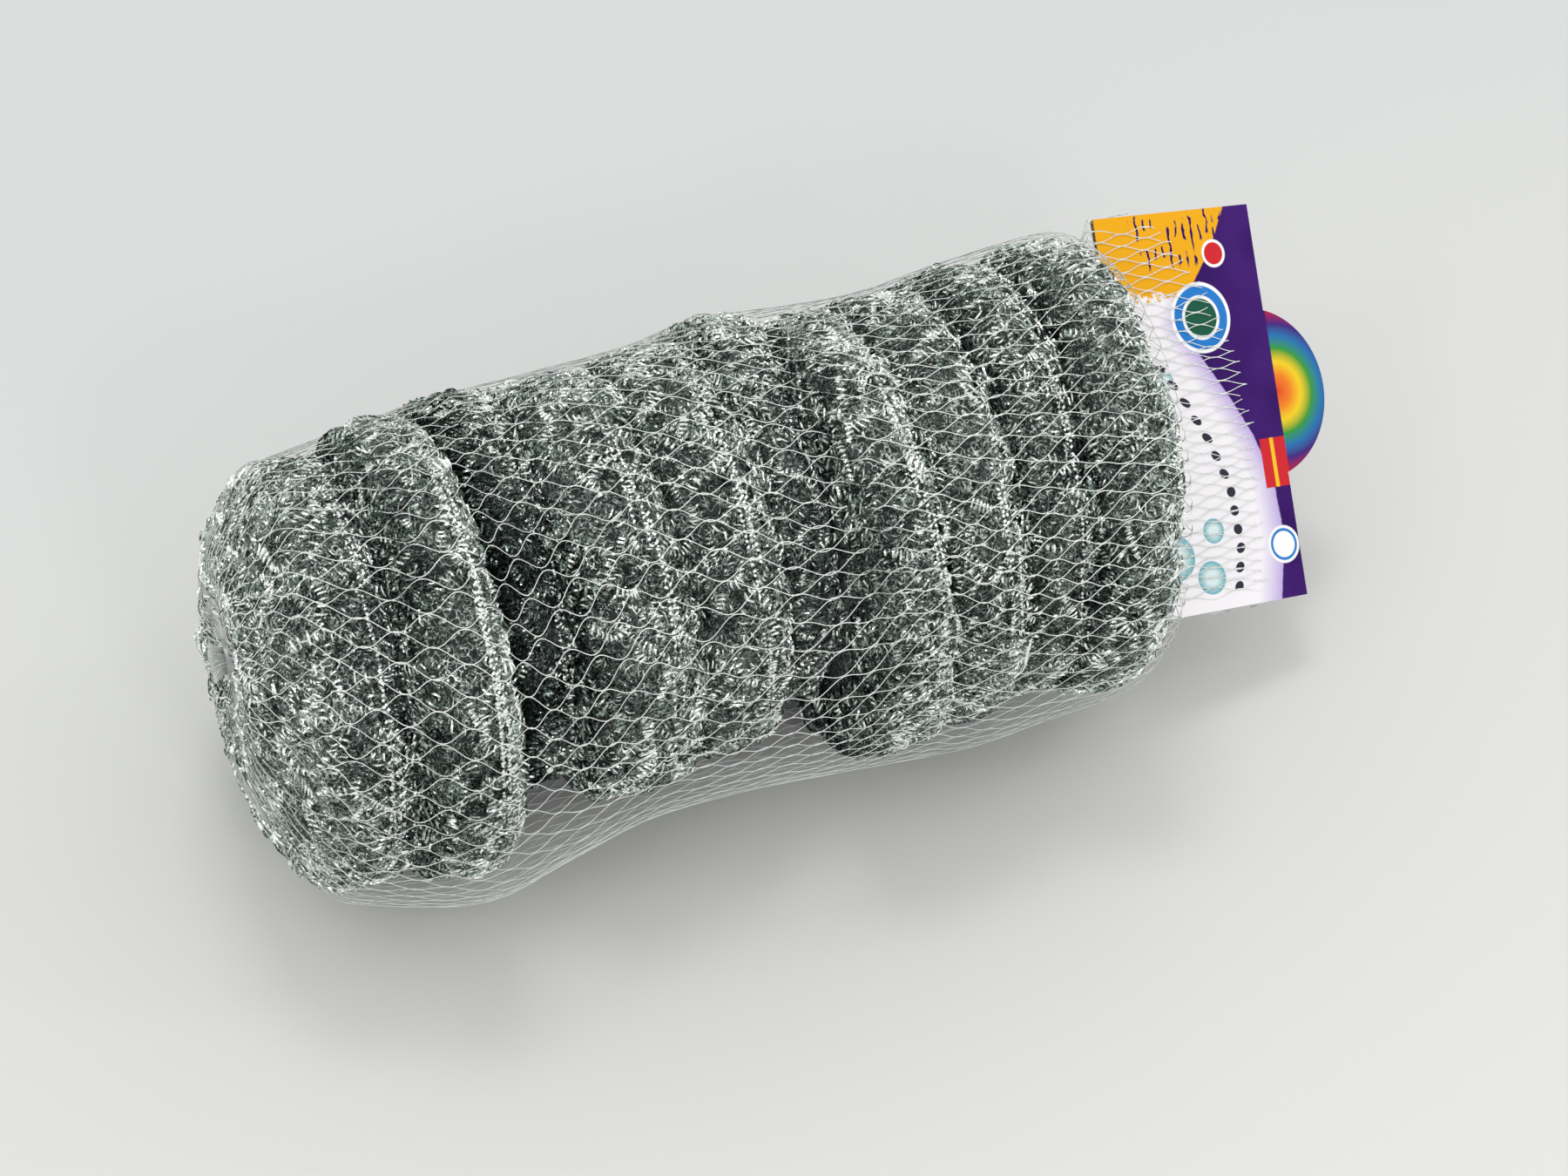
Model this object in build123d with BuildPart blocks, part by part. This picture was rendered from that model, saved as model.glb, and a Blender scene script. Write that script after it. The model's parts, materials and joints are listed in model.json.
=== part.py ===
from build123d import *
import os
from math import atan2, cos, hypot, radians, sin

# Ten knitted steel scourers in a net bag, with a folded header card. Millimetres, Z up, X along the row.

# Scourers: round puffs of curled steel ribbon that stand on edge in a row
scourer_radius = 50.0
scourer_thickness = 20.65
scourer_gap = 0.25
pleat_count = 16
pleat_depth = 1.6
# One entry for each scourer, from the gathered end to the card
radius_shares = (0.97, 1.04, 0.92, 0.98, 0.96, 0.92, 1.04, 1.02, 1.02, 1.07)
thickness_shares = (1.14, 0.92, 0.92, 1.10, 1.04, 0.74, 0.84, 0.94, 0.80, 1.02)
sideways_shares = (0.06, -0.03, 0.25, 0.11, 0.16, 0.30, -0.06, -0.02, 0.04, -0.06)
lift_shares = (0.010, 0.016, 0.060, 0.020, 0.030, 0.075, 0.016, 0.012, 0.010, 0.008)
lean_angles = (9.0, 7.0, 5.0, 4.0, 4.0, 4.0, 4.0, 4.0, 5.0, 6.0)
turn_angles = (1.0, 2.0, 2.0, 1.0, 0.0, 0.0, 0.0, -1.0, -2.0, -4.0)
# Half section of a puff: how far out each ring lies, and how far from the middle plane
ring_radius_shares = (0.16, 0.44, 0.72, 0.90, 0.975)
ring_depth_shares = (0.25, 0.50, 0.49, 0.41, 0.24)
# The first scourer bulges out to the gather instead, which sits above its middle
dome_depth_shares = (0.66, 0.78, 0.56, 0.34, 0.18)
gather_lift = 12.0

# Net bag: a tube of soft plastic net, drawn over the row. Its cells are fewer and larger than the real ones
net_wall = 0.8
net_strand = 1.1
net_clearance = 0.35
net_shoulder_slack = 1.9
net_cells = 18
net_sides = 2 * net_cells
net_floor_cut = 1.9
# Outlines on which the rows of crossings lie: between the first and the last of them the net is open
net_rows = (1, 2, 3, 5, 6, 7, 8, 9, 10, 11, 12, 13, 14, 16, 17)
net_mouth_band = 4.0
# One entry for each scourer's plane: half width, half height and sideways place, of scourer_radius
net_width_shares = (1.03, 1.13, 1.17, 1.09, 1.1, 1.18, 1.1, 1.13, 1.15, 1.12)
net_height_shares = (1.03, 1.10, 1.01, 1.04, 1.04, 1.02, 1.10, 1.07, 1.07, 1.12)
net_sideways_shares = (0.04, -0.08, 0.06, 0.07, 0.07, 0.1, -0.04, -0.05, -0.02, -0.05)

# Gathered end: the net's neck, the crimped clip round it and the tuft behind the clip
neck_radius = 3.0
clip_wall = 1.2
clip_width = 2.4
clip_clearance = 0.1
tuft_length = 2.6
tuft_flare = 2.0

# Header card: a folded sheet that lies across the right end of the row
card_length = 96.0
card_leaf = 46.0
card_sheet = 0.4
card_fold_gap = 0.6
card_stand_off = 4.8
card_droop_angle = 14.4
card_roll_angle = 41.9
card_turn_angle = 3.8
card_sideways = 2.3
card_lift = 7.3
tab_chord = 40.0
tab_reach = 15.0
tab_offset = 2.0

# Net mouth: the flattened end of the net that lies over the card's leaves
mouth_wall = 0.5
mouth_clearance = 0.15
mouth_top_reach = 14.0
mouth_middle_reach = 37.0
mouth_bottom_reach = 34.0
hinge_gap = 0.45

os.makedirs("parts", exist_ok=True)
pieces = []
count = len(radius_shares)
last = count - 1


def thickness_of(index):
    return scourer_thickness * thickness_shares[index]


def radius_of(index):
    return scourer_radius * radius_shares[index]


def axis_of(index):
    """The direction of a scourer's axis, leaned and turned from +X."""
    lean, turn = radians(lean_angles[index]), radians(turn_angles[index])
    return Vector(cos(lean) * cos(turn), cos(lean) * sin(turn), -sin(lean))


def stand_of(index):
    """Sideways place and height of a scourer that stands on the net, on edge."""
    height = net_wall + net_clearance + radius_of(index) + scourer_radius * lift_shares[index]
    return scourer_radius * sideways_shares[index], height


def step_between(left, right):
    """Distance along the row at which the nearest rings of two neighbours just clear."""
    tilt = sin(radians(axis_of(left).get_angle(axis_of(right))))
    both = thickness_of(left) + thickness_of(right)
    reach = max(radius_of(left), radius_of(right))
    rings = zip(ring_radius_shares, ring_depth_shares)
    apart = max(depth * both + ring * reach * tilt for ring, depth in rings) + scourer_gap
    middle = (axis_of(left) + axis_of(right)).normalized()
    aside, above = [b - a for a, b in zip(stand_of(left), stand_of(right))]
    return (apart - aside * middle.Y - above * middle.Z) / middle.X


row_places = [0.0]
for number in range(1, count):
    row_places.append(row_places[-1] + step_between(number - 1, number))


def centre_of(index):
    return Vector(row_places[index], *stand_of(index))


def tilted_plane(origin, axis):
    """A plane square to an axis near +X, with local x sideways and local y up."""
    return Plane(origin=origin, x_dir=Vector(-axis.Y, axis.X, 0).normalized(), z_dir=axis)


def dome_middle(ring, depth):
    """The middle of a ring on the first scourer's outer side: the smaller the ring, the more it is lifted."""
    plane = tilted_plane(centre_of(0), axis_of(0))
    return plane.from_local_coords((0, gather_lift * (1 - ring), -depth))


def finish(builder, name):
    """Labels a finished piece and keeps it for the export."""
    builder.part.label = name
    pieces.append(builder.part)


def band(near, far, triangles=False):
    """Flat faces that join one ring of points to the next."""
    faces = []
    for a, b, c, d in zip(near, near[1:] + near[:1], far[1:] + far[:1], far):
        corners = [(a, b, c), (a, c, d)] if triangles else [(a, b, c, d)]
        faces += [Face(Wire.make_polygon(points)) for points in corners]
    return faces


def cap(ring):
    return [Face(Wire.make_polygon(ring))]


# A puff's half section on its two sides, from the middle of a face to the rim
def half_section(number, outer):
    depths = dome_depth_shares if outer and not number else ring_depth_shares
    return list(zip(ring_radius_shares, depths))


# Scourers, each a pleated puff with a dimple in the middle of both faces
for number in range(count):
    thickness, radius, axis = thickness_of(number), radius_of(number), axis_of(number)
    section = [(ring, -depth) for ring, depth in half_section(number, True)]
    section += [(1.0, 0.0)] + half_section(number, False)[::-1]
    rings = []
    for ring, depth in section:
        origin = centre_of(number) + axis * depth * thickness
        if depth < 0 and not number:
            origin = dome_middle(ring, -depth * thickness)
        plane = tilted_plane(origin, axis)
        reaches = [ring * radius, ring * (radius - pleat_depth)] * pleat_count
        angles = [radians(180 * step / pleat_count) for step in range(2 * pleat_count)]
        rings.append([plane.from_local_coords((r * cos(a), r * sin(a), 0)) for r, a in zip(reaches, angles)])
    sides = [face for near, far in zip(rings, rings[1:]) for face in band(near, far)]
    with BuildPart() as scourer:
        add(Solid(Shell(sides + cap(rings[0]) + cap(rings[-1]))))
    finish(scourer, f"scourer_{number + 1:02d}")

# The card's directions and place: its inner edge crosses the end of the row
droop, roll, turn = radians(card_droop_angle), radians(card_roll_angle), radians(card_turn_angle)
card_out = Vector(cos(droop) * cos(turn), cos(droop) * sin(turn), -sin(droop))
card_level = Vector(-sin(turn), cos(turn), 0)
card_up = card_level * cos(roll) + card_out.cross(card_level) * sin(roll)
card_front = card_out.cross(card_up)
end_face = centre_of(last) + axis_of(last) * (thickness_of(last) / 2 + card_stand_off)
card_edge = Vector(end_face.X, centre_of(last).Y + card_sideways, centre_of(last).Z + card_lift)
card_plane = Plane(origin=card_edge, x_dir=card_out, z_dir=card_front)
half_card = card_fold_gap / 2 + card_sheet
half_mouth = half_card + mouth_clearance + mouth_wall
mouth_length = card_length + 2 * (mouth_clearance + mouth_wall)
first_angle = atan2(-card_up.Z, -card_up.Y)


def net_outline(plane, half_width, half_height, start):
    """The corners of an oval, the first of them turned by start from the plane's local x."""
    angles = [start + radians(360 * step / net_sides) for step in range(net_sides)]
    return [plane.from_local_coords((half_width * cos(a), half_height * sin(a), 0)) for a in angles]


def net_outlines(inset):
    """The net's outlines from its gathered end to the card, all drawn in by inset."""
    outlines = []
    shell = net_clearance + net_wall - inset

    def reach(index, ring):
        """Size of an outline at a ring of an end scourer, with slack where strands cut across its shoulder."""
        slack = net_shoulder_slack if ring > ring_radius_shares[2] else 0
        return ring * radius_of(index) + shell + slack

    # Over the first scourer's outer face, out of its dimple
    for place, (ring, depth) in enumerate(half_section(0, True)):
        size = reach(0, ring) if place else neck_radius
        origin = dome_middle(ring, depth * thickness_of(0) + shell)
        outlines.append(net_outline(tilted_plane(origin, axis_of(0)), size, size, first_angle))
    # Round the row
    for index in range(count):
        width = scourer_radius * net_width_shares[index] - inset
        height = scourer_radius * net_height_shares[index]
        origin = (row_places[index], scourer_radius * net_sideways_shares[index], height - net_floor_cut)
        plane = tilted_plane(origin, axis_of(index))
        outlines.append(net_outline(plane, width, height - inset, first_angle))
    # Over the last scourer's shoulder, and flattened to the card's length
    rings = half_section(last, False)
    for ring, depth in (rings[-1], rings[-2], rings[-3]):
        length, size = reach(last, max(ring, rings[-2][0])), reach(last, ring)
        origin = centre_of(last) + axis_of(last) * (depth * thickness_of(last) + shell)
        axis = axis_of(last)
        along = (-card_up - axis * -card_up.dot(axis)).normalized()
        outlines.append(net_outline(Plane(origin=origin, x_dir=along, z_dir=axis), length, size, 0))
    mouth = Plane(origin=card_edge - card_out * (hinge_gap + inset), x_dir=-card_up, z_dir=card_out)
    outlines.append(net_outline(mouth, mouth_length / 2 - inset, half_mouth - inset, 0))
    # Nothing of the net lies below the floor
    return [[Vector(p.X, p.Y, max(p.Z, inset)) for p in outline] for outline in outlines]


dimple = (dome_depth_shares[1] - dome_depth_shares[0]) * thickness_of(0)
crown = ring_radius_shares[1] * radius_of(0)
clip_radius = neck_radius + clip_clearance + clip_wall
clip_start = dimple * (clip_radius - neck_radius) / (crown - neck_radius) + clip_clearance
tuft_start = clip_start + clip_width + clip_clearance
neck_base = dome_depth_shares[0] * thickness_of(0) + net_clearance + net_wall


def neck_plane(along):
    """A plane square to the neck, with its normal pointing away from the row."""
    return tilted_plane(dome_middle(ring_radius_shares[0], neck_base + along), -axis_of(0))


def between(start, end, share):
    return start + (end - start) * share


def net_point(outlines, station, side):
    """A point of the net: station counts the outlines and side counts their corners, both in parts too."""
    near = min(int(station), len(outlines) - 2)
    corner = int(side // 1)
    ends = [between(outline[corner % net_sides], outline[(corner + 1) % net_sides], side - corner)
            for outline in outlines[near:near + 2]]
    return between(*ends, station - near)


# The last row of crossings lies a band's width before the mouth
outer_outlines, inner_outlines = net_outlines(0), net_outlines(net_wall)
last_stretch = (outer_outlines[-1][net_cells // 2] - outer_outlines[-2][net_cells // 2]).length
stations = [float(row) for row in net_rows] + [len(outer_outlines) - 1 - net_mouth_band / last_stretch]
rows = len(stations) - 2


def opening(row, cell):
    """Places of a diamond opening's corners, as left, upper, right and lower, drawn in by half a strand."""
    side = 2 * cell + row % 2
    if row in (0, rows + 1):
        return [(stations[row], side), (stations[row], side + 1), (stations[row], side), (stations[row], side - 1)]
    corners = []
    for step, turn in ((-1, 0), (0, 1), (1, 0), (0, -1)):
        middle = net_point(outer_outlines, stations[row], side)
        along = (net_point(outer_outlines, stations[row + (step or 1)], side) - middle).length
        around = (net_point(outer_outlines, stations[row], side + 1) - middle).length
        share = 1 - net_strand / 2 * hypot(along, around) / (along * around)
        reach = stations[row + step] - stations[row]
        corners.append((stations[row] + share * reach, side + share * turn))
    return corners


def lattice(outlines):
    """Faces of the net's strands and crossings, from the first row of crossings to the last."""
    faces = []
    for row in range(rows + 1):
        for cell in range(net_cells):
            shift = row % 2
            left, above, right, below = opening(row, cell)
            upper, lower = opening(row + 1, cell + shift), opening(row + 1, cell + shift - 1)
            quads = [(right, above, upper[0], upper[3]), (right, lower[1], lower[0], below)]
            if row:
                beyond, before = opening(row + 1, cell + shift), opening(row - 1, cell + shift)
                quads.append((above, beyond[0], opening(row, cell + 1)[3], before[2]))
            for quad in quads:
                a, b, c, d = [net_point(outlines, *place) for place in quad]
                faces += [Face(Wire.make_polygon(points)) for points in ((a, b, c), (a, c, d))]
    return faces


def opening_walls():
    """Faces through the net's wall, round each opening."""
    faces = []
    for row in range(1, rows + 1):
        for cell in range(net_cells):
            places = opening(row, cell)
            faces += band(*[[net_point(side, *place) for place in places] for side in (outer_outlines, inner_outlines)],
                          triangles=True)
    return faces


def outline_at(outlines, station):
    return [net_point(outlines, station, side) for side in range(net_sides)]


# Net bag: bunched solid at the neck, open between its strands, and closed again along the mouth
neck_rings = []
for along, radius in ((tuft_start + tuft_length, neck_radius + tuft_flare), (tuft_start, neck_radius)):
    plane = tilted_plane(neck_plane(along).origin, axis_of(0))
    neck_rings.append(net_outline(plane, radius, radius, first_angle))
net_faces = cap(neck_rings[0]) + band(*neck_rings, triangles=True)
net_faces += band(neck_rings[1], outer_outlines[0], triangles=True)
for outlines in (outer_outlines, inner_outlines):
    net_faces += band(outlines[0], outlines[1], triangles=True) + lattice(outlines)
    net_faces += band(outline_at(outlines, stations[-1]), outlines[-1], triangles=True) + cap(outlines[-1])
with BuildPart() as net_bag:
    add(Solid(Shell(net_faces + cap(inner_outlines[0]) + opening_walls())))
finish(net_bag, "net_bag")

# Gather clip: a crimped ring round the neck, in the first scourer's dimple
with BuildPart() as gather_clip:
    with BuildSketch(neck_plane(clip_start)):
        Circle(clip_radius)
        Circle(neck_radius + clip_clearance, mode=Mode.SUBTRACT)
    extrude(amount=clip_width)
finish(gather_clip, "gather_clip")

# Header card: two leaves and a round fold, with a tab that stays in the front leaf's plane
card_start = hinge_gap + mouth_clearance
bend = card_leaf - half_card
half_gap = card_fold_gap / 2
tab_radius = (tab_chord ** 2 / 4 + tab_reach ** 2) / (2 * tab_reach)
profile_plane = Plane(origin=card_edge + card_up * card_length / 2, x_dir=card_out, z_dir=-card_up)
with BuildPart() as header_card:
    with BuildSketch(profile_plane):
        with BuildLine():
            Line((card_start, half_card), (bend, half_card))
            ThreePointArc((bend, half_card), (bend + half_card, 0), (bend, -half_card))
            Line((bend, -half_card), (card_start, -half_card))
            Line((card_start, -half_card), (card_start, -half_gap))
            Line((card_start, -half_gap), (bend, -half_gap))
            ThreePointArc((bend, -half_gap), (bend + half_gap, 0), (bend, half_gap))
            Line((bend, half_gap), (card_start, half_gap))
            Line((card_start, half_gap), (card_start, half_card))
        make_face()
    extrude(amount=card_length)
    # The tab was cut out of the back leaf, so its outline is missing there
    with BuildSketch(card_plane.offset(half_gap)):
        with Locations((bend - tab_reach + tab_radius, tab_offset)):
            Circle(tab_radius)
        with Locations((bend + tab_radius, tab_offset)):
            Rectangle(2 * tab_radius, 2 * tab_radius, mode=Mode.SUBTRACT)
        with Locations((bend + half_card / 2, tab_offset)):
            Rectangle(half_card, tab_chord)
    extrude(amount=-half_card - half_gap, mode=Mode.SUBTRACT)
    with BuildSketch(card_plane.offset(half_gap)):
        with Locations((bend + half_card / 2, tab_offset)):
            Rectangle(half_card, tab_chord)
    extrude(amount=half_card, mode=Mode.SUBTRACT)
    with BuildSketch(card_plane.offset(half_gap)):
        with Locations((bend + tab_reach - tab_radius, tab_offset)):
            Circle(tab_radius)
        with Locations((bend - tab_radius, tab_offset)):
            Rectangle(2 * tab_radius, 2 * tab_radius, mode=Mode.SUBTRACT)
    extrude(amount=card_sheet)
finish(header_card, "header_card")

# Net mouth: a flat sleeve over both leaves, cut off along a curve
with BuildPart() as net_mouth:
    with BuildSketch(Plane(origin=card_edge + card_out * hinge_gap, x_dir=-card_up, z_dir=card_out)):
        Rectangle(mouth_length, 2 * half_mouth)
        Rectangle(mouth_length - 2 * mouth_wall, 2 * (half_mouth - mouth_wall), mode=Mode.SUBTRACT)
    extrude(amount=mouth_middle_reach)
    with BuildSketch(card_plane.offset(-half_mouth)):
        with BuildLine():
            top = (mouth_top_reach, mouth_length / 2)
            bottom = (mouth_bottom_reach, -mouth_length / 2)
            ThreePointArc(top, (mouth_middle_reach, 0), bottom)
            Polyline(bottom, (card_leaf, -mouth_length / 2), (card_leaf, mouth_length / 2), top)
        make_face()
    extrude(amount=2 * half_mouth, mode=Mode.SUBTRACT)
finish(net_mouth, "net_mouth")

# The origin is under the middle of the whole pack, on the surface that it rests on
box = pieces[0].bounding_box()
for piece in pieces:
    box = box.add(piece.bounding_box())
middle = Vector(box.center().X, box.center().Y, 0)
for piece in pieces:
    export_step(piece.moved(Location(-middle)), f"parts/{piece.label}.step")
print("card edge", card_edge - middle, "hinge axis", -card_up, "row starts at", -middle.X)
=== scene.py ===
import bpy
import json
import math
import numpy as np
from mathutils import Matrix, Vector


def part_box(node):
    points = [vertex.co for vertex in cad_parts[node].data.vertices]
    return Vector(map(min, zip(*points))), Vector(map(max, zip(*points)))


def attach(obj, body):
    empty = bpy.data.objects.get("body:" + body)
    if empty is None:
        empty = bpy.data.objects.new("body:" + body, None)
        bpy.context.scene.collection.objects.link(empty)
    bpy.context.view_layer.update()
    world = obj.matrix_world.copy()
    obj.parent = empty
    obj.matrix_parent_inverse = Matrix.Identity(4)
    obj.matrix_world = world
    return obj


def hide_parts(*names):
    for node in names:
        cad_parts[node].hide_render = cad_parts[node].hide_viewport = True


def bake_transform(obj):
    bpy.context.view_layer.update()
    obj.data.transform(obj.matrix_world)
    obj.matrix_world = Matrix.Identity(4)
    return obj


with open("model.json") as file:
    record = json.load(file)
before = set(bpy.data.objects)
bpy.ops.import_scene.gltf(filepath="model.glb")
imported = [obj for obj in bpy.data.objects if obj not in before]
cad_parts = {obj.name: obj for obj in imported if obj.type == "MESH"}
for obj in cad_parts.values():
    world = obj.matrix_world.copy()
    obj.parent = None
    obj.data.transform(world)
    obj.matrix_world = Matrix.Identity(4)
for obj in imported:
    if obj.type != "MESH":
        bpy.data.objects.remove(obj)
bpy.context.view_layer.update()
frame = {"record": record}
scene = bpy.context.scene
scene.view_settings.view_transform = "Standard"
print("frame loaded")

# The camera stands where the photograph was taken from
cameraValues = {
    "elevation": 50.0,
    "azimuth": -20.7,
    "distance": 0.6,
    "lens": 60.0,
    "sensor": 36.0,
    "frameSize": (1800, 1350),
    "target": (-0.02738, -0.00177, 0.052),
    "targetPixel": (795, 655),
}


def makeCamera(values):
    elevation, azimuth = math.radians(values["elevation"]), math.radians(values["azimuth"])
    level = math.cos(elevation)
    back = Vector((math.sin(azimuth) * level, -math.cos(azimuth) * level, math.sin(elevation)))
    right = Vector((math.cos(azimuth), math.sin(azimuth), 0))
    up = back.cross(right)
    wide, high = values["frameSize"]
    perPixel = values["distance"] * values["sensor"] / values["lens"] / wide
    shiftX = (wide / 2 - values["targetPixel"][0]) * perPixel
    shiftY = (values["targetPixel"][1] - high / 2) * perPixel
    place = Vector(values["target"]) + back * values["distance"] + right * shiftX + up * shiftY
    data = bpy.data.cameras.new("photoCamera")
    data.lens, data.sensor_width, data.sensor_fit = values["lens"], values["sensor"], "HORIZONTAL"
    data.clip_start, data.clip_end = 0.01, 20
    camera = bpy.data.objects.new("photoCamera", data)
    camera.matrix_world = Matrix((
        (right.x, up.x, back.x, place.x),
        (right.y, up.y, back.y, place.y),
        (right.z, up.z, back.z, place.z),
        (0, 0, 0, 1),
    ))
    scene.collection.objects.link(camera)
    scene.camera = camera


makeCamera(cameraValues)

# Node helpers: each returns an output socket, so that patterns read as sums


class Pattern:
    def __init__(self, tree):
        self.tree = tree

    def node(self, kind, settings=None, **inputs):
        made = self.tree.nodes.new(kind)
        for key, value in (settings or {}).items():
            setattr(made, key, value)
        for key, value in inputs.items():
            name = key.replace("_", " ")
            self.feed(made.inputs[int(name[1:])] if name[1:].isdigit() else made.inputs[name], value)
        return made

    def feed(self, socket, value):
        if isinstance(value, bpy.types.NodeSocket):
            self.tree.links.new(value, socket)
        else:
            socket.default_value = value

    def sum(self, operation, first, second=0.0, third=0.0):
        made = self.node("ShaderNodeMath", {"operation": operation}, i0=first, i1=second)
        if operation in ("MULTIPLY_ADD", "SMOOTH_MIN", "SMOOTH_MAX", "COMPARE"):
            self.feed(made.inputs[2], third)
        return made.outputs[0]

    def dot(self, first, second):
        made = self.node("ShaderNodeVectorMath", {"operation": "DOT_PRODUCT"}, i0=first, i1=second)
        return made.outputs["Value"]

    def step(self, value, low, high, toLow=0.0, toHigh=1.0):
        made = self.node("ShaderNodeMapRange", {"clamp": True}, i0=value, i1=low, i2=high,
                         i3=toLow, i4=toHigh)
        return made.outputs[0]

    def mix(self, share, first, second):
        made = self.node("ShaderNodeMix", {"data_type": "RGBA"})
        for socket, value in ((made.inputs[0], share), (made.inputs[6], first), (made.inputs[7], second)):
            self.feed(socket, value if not isinstance(value, tuple) else (*value[:3], 1))
        return made.outputs[2]

    def ramp(self, value, stops, kind="LINEAR"):
        made = self.node("ShaderNodeValToRGB", None, Fac=value)
        made.color_ramp.interpolation = kind
        while len(made.color_ramp.elements) < len(stops):
            made.color_ramp.elements.new(0.5)
        for element, (place, colour) in zip(made.color_ramp.elements, stops):
            element.position = place
            element.color = (*colour, 1) if isinstance(colour, tuple) else (colour, colour, colour, 1)
        return made.outputs["Color"]

    def noise(self, place, scale, detail=2.0, roughness=0.5):
        made = self.node("ShaderNodeTexNoise", None, Vector=place, Scale=scale, Detail=detail,
                         Roughness=roughness)
        return made.outputs[0]

    def objectPlace(self):
        return self.node("ShaderNodeTexCoord").outputs["Object"]


def newMaterial(name):
    material = bpy.data.materials.new(name)
    material.use_nodes = True
    pattern = Pattern(material.node_tree)
    return material, pattern, material.node_tree.nodes["Principled BSDF"]


def newGroup(name, inputs, outputs):
    group = bpy.data.node_groups.new(name, "ShaderNodeTree")
    for label, kind in inputs:
        group.interface.new_socket(name=label, in_out="INPUT", socket_type=kind)
    for label, kind in outputs:
        group.interface.new_socket(name=label, in_out="OUTPUT", socket_type=kind)
    pattern = Pattern(group)
    return group, pattern, pattern.node("NodeGroupInput"), pattern.node("NodeGroupOutput")


steelValues = {
    "dashScale": 640.0,
    "dashShare": 0.72,
    # The tones run from painted shade through the steel's mid tone to a painted glint
    "tones": [(0.31, (0.17, 0.215, 0.195)), (0.45, (0.58, 0.65, 0.62)), (0.55, (0.96, 0.995, 0.98))],
    "grainScale": 1400.0,
    "roughness": (0.12, 0.32),
}


# The ribbon's tone and roughness, which change from curl to curl and along the ribbon
def makeRibbonTone(values):
    group, pattern, given, result = newGroup(
        "ribbonTone", [("Shade", "NodeSocketFloat")],
        [("Tone", "NodeSocketColor"), ("Grain", "NodeSocketFloat")])
    place = pattern.objectPlace()
    # Painted glints and painted shade: short light and dark dashes in the colour, as the flat ribbon twists
    # to and from the light
    dashes = pattern.noise(place, values["dashScale"], 1.0)
    # The shade attribute adds painted shade, by depth and beside the scourer before
    shade = pattern.sum("MULTIPLY", given.outputs["Shade"], 1 - values["dashShare"])
    mixed = pattern.sum("MULTIPLY_ADD", dashes, values["dashShare"], shade)
    tone = pattern.ramp(mixed, values["tones"])
    grain = pattern.step(pattern.noise(place, values["grainScale"], 2.0), 0.3, 0.7, *values["roughness"])
    pattern.feed(result.inputs["Tone"], tone)
    pattern.feed(result.inputs["Grain"], grain)
    return group


ribbonTone = makeRibbonTone(steelValues)


def steelMaterial():
    material, pattern, shader = newMaterial("curledSteel")
    shade = pattern.node("ShaderNodeAttribute", {"attribute_name": "shade"}).outputs["Fac"]
    tone = pattern.node("ShaderNodeGroup", {"node_tree": ribbonTone}, Shade=shade)
    pattern.feed(shader.inputs["Base Color"], tone.outputs["Tone"])
    pattern.feed(shader.inputs["Roughness"], tone.outputs["Grain"])
    pattern.feed(shader.inputs["Metallic"], 1.0)
    return material


depthValues = {
    "contours": ((330.0, 15.0), (440.0, 12.0)),
    "lineEdge": (0.12, 0.42),
    "glintScale": 700.0,
    # The dark ground between the lines and the shaded tone are painted shade, the glint tone a painted
    # highlight
    "hollowShade": (0.045, 0.058, 0.053),
    "line": (0.56, 0.63, 0.6),
    "glint": (0.96, 0.99, 0.98),
    "shaded": (0.03, 0.037, 0.034),
    "metallic": 0.7,
    "roughness": (0.6, 0.3),
}


def coreMaterial(values):
    material, pattern, shader = newMaterial("steelDepth")
    place = pattern.objectPlace()
    # Thin curls: contour lines of two soft noises, with painted glints along them, on a dark ground that is
    # painted shade of the tangle's depth
    lines = 0.0
    for scale, often in values["contours"]:
        level = pattern.sum("ABSOLUTE", pattern.sum("SINE", pattern.sum(
            "MULTIPLY", pattern.noise(place, scale, 1.0), often)))
        lines = pattern.sum("MAXIMUM", lines, pattern.step(level, *values["lineEdge"], 1.0, 0.0))
    spots = pattern.step(pattern.noise(place, values["glintScale"], 0.0), 0.5, 0.56)
    glints = pattern.sum("MULTIPLY", lines, spots)
    tone = pattern.mix(lines, values["hollowShade"], values["line"])
    # Painted shade: where the shade attribute is low, the colour goes to the shaded tone
    shade = pattern.node("ShaderNodeAttribute", {"attribute_name": "shade"}).outputs["Fac"]
    tone = pattern.mix(glints, tone, values["glint"])
    pattern.feed(shader.inputs["Base Color"], pattern.mix(shade, values["shaded"], tone))
    pattern.feed(shader.inputs["Metallic"], values["metallic"])
    pattern.feed(shader.inputs["Roughness"], pattern.step(lines, 0, 1, *values["roughness"]))
    bump = pattern.node("ShaderNodeBump", None, Height=lines, Strength=0.7, Distance=0.0008)
    pattern.feed(shader.inputs["Normal"], bump.outputs["Normal"])
    return material


plasticValues = {
    "dull": (0.74, 0.78, 0.765),
    "bright": (0.9, 0.93, 0.92),
    "cloudScale": 60.0,
    "grainScale": 500.0,
    "roughness": (0.28, 0.45),
    "scatter": 0.25,
    "scatterRadius": 0.0008,
}


def netMaterial(values):
    material, pattern, shader = newMaterial("netPlastic")
    place = pattern.objectPlace()
    cloud = pattern.step(pattern.noise(place, values["cloudScale"], 2.0), 0.35, 0.65)
    grain = pattern.step(pattern.noise(place, values["grainScale"]), 0.3, 0.7, *values["roughness"])
    pattern.feed(shader.inputs["Base Color"], pattern.mix(cloud, values["dull"], values["bright"]))
    pattern.feed(shader.inputs["Roughness"], grain)
    shader.inputs["Subsurface Weight"].default_value = values["scatter"]
    shader.inputs["Subsurface Radius"].default_value = (values["scatterRadius"],) * 3
    return material


clipValues = {
    "dull": (0.62, 0.63, 0.64),
    "bright": (0.82, 0.82, 0.83),
    "cloudScale": 900.0,
    "roughness": (0.3, 0.5),
}


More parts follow.
